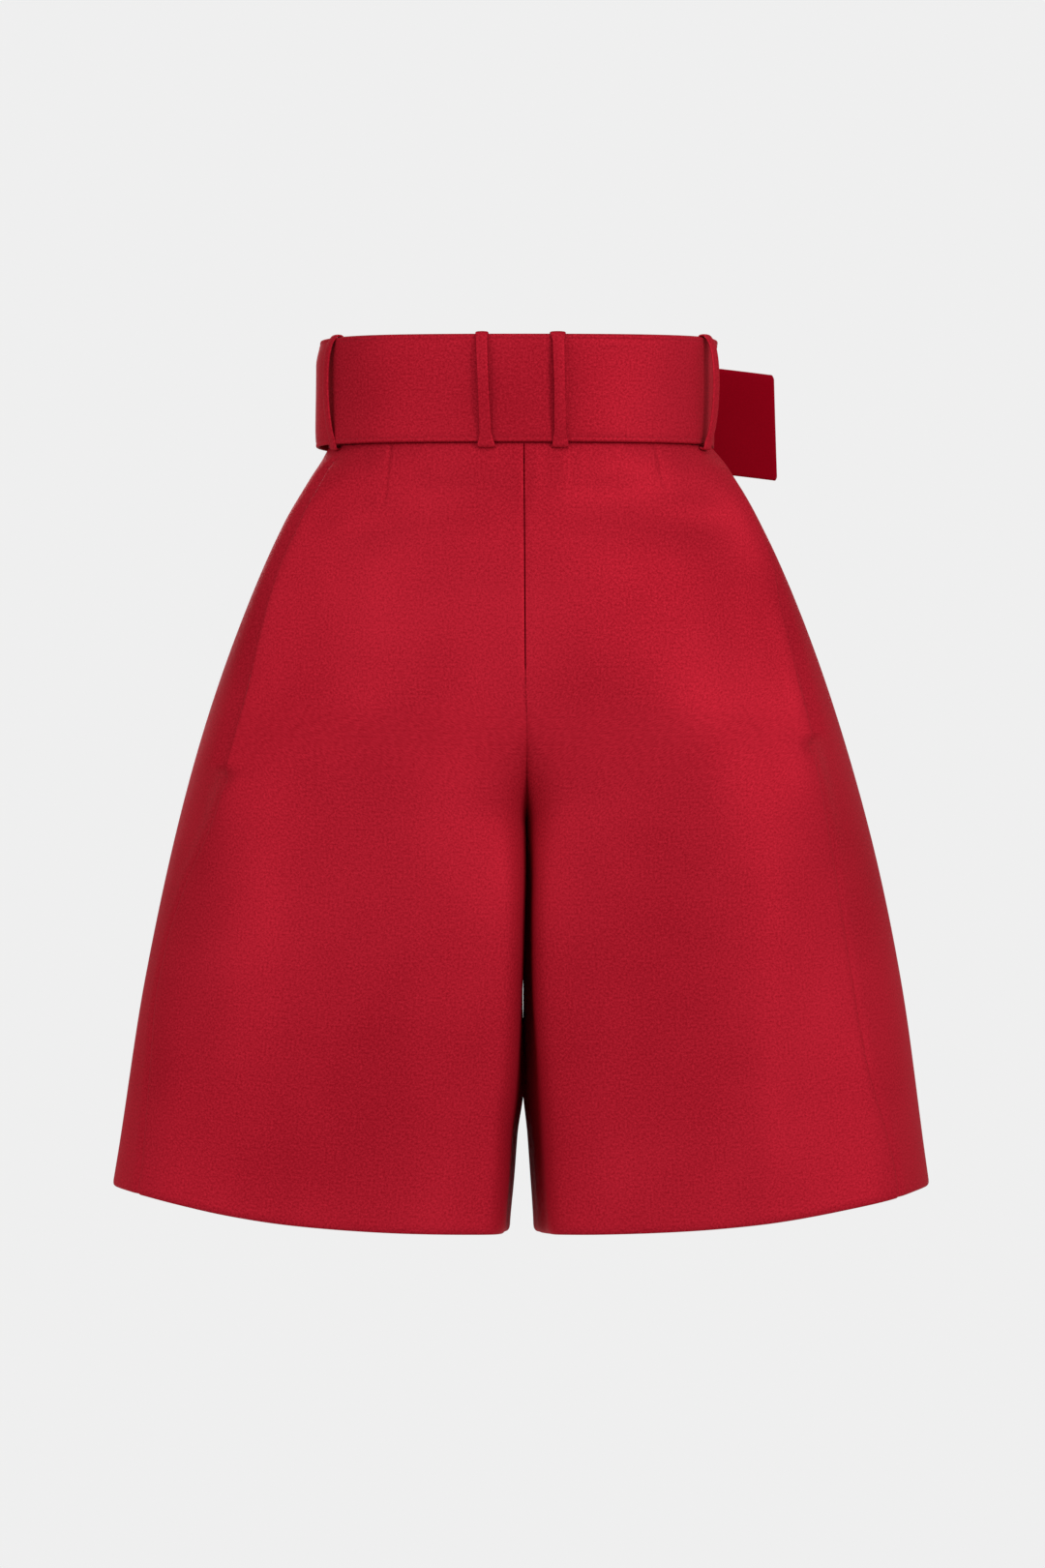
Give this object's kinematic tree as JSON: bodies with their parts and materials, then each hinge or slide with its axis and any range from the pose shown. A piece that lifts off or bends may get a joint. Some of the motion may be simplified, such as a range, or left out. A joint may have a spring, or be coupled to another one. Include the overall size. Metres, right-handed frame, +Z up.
{
  "type": "belted satin bermuda shorts",
  "caption": "High-waisted A-line shorts in satin with a wide covered belt, belt loops, lining, pockets and a front zip.",
  "frame": {"origin": "centre of the waist opening, level with the top of the waistband at the back", "axes": "+Z up along the wearer's body, the garment's front faces -Y, the wearer's left is +X"},
  "size_m": [0.5142, 0.221, 0.5655],
  "materials": {
    "satin": "dark red duchess satin, softly lustrous",
    "lining": "dark red plain-weave lining, slight sheen",
    "tape": "dark red woven tape",
    "metal": "polished pale gold",
    "button": "dark red polyester button",
    "label": "plain woven ribbon without lettering"
  },
  "bodies": {
    "garment": {"back_panel_left": "satin", "front_panel_left": "satin", "lining_left": "lining", "hem_facing_left": "satin", "pocket_bag_left": "lining", "waistband_front_left": "satin", "waistband_facing_front_left": "satin", "hanger_loop_left": "tape", "zip_tape_left": "tape", "zip_teeth_left": "metal", "belt_loop_back_left": "satin", "belt_loop_side_left": "satin", "belt_loop_front_left": "satin", "back_panel_right": "satin", "front_panel_right": "satin", "lining_right": "lining", "hem_facing_right": "satin", "pocket_bag_right": "lining", "waistband_front_right": "satin", "waistband_facing_front_right": "satin", "hanger_loop_right": "tape", "zip_tape_right": "tape", "zip_teeth_right": "metal", "belt_loop_back_right": "satin", "belt_loop_side_right": "satin", "belt_loop_front_right": "satin", "waistband_back": "satin", "waistband_facing_back": "satin", "belt_strap": "satin", "buckle_tab": "satin", "fly_shield": "satin", "waist_underlap": "satin", "size_label": "label", "care_label": "label", "zip_bottom_stop": "metal", "waist_hook": "metal", "waist_bar": "metal", "inside_button": "button"},
    "slider": {"zip_slider": "metal"},
    "pull": {"zip_pull": "metal"},
    "buckle": {"buckle_frame": "satin"},
    "tail": {"belt_tail": "satin"}
  },
  "joints": [
    {"name": "zip_slide", "type": "slide", "parent": "garment", "child": "slider", "axis": [0, -0.0697, -0.9976], "range_m": [0, 0.135]},
    {"name": "zip_pull_swing", "type": "hinge", "parent": "slider", "child": "pull", "pos_m": [0, -0.09379, -0.0864], "axis": [-1, 0, 0], "range_deg": [0, 70]},
    {"name": "buckle_rock", "type": "hinge", "parent": "garment", "child": "buckle", "pos_m": [0, -0.0997, -0.044], "axis": [0, 0, 1], "range_deg": [-3, 3]},
    {"name": "belt_tail_swing", "type": "hinge", "parent": "garment", "child": "tail", "pos_m": [-0.033, -0.0947, -0.044], "axis": [0, 0, 1], "range_deg": [-2, 25], "stiffness_Nm_per_rad": 0.02}
  ]
}
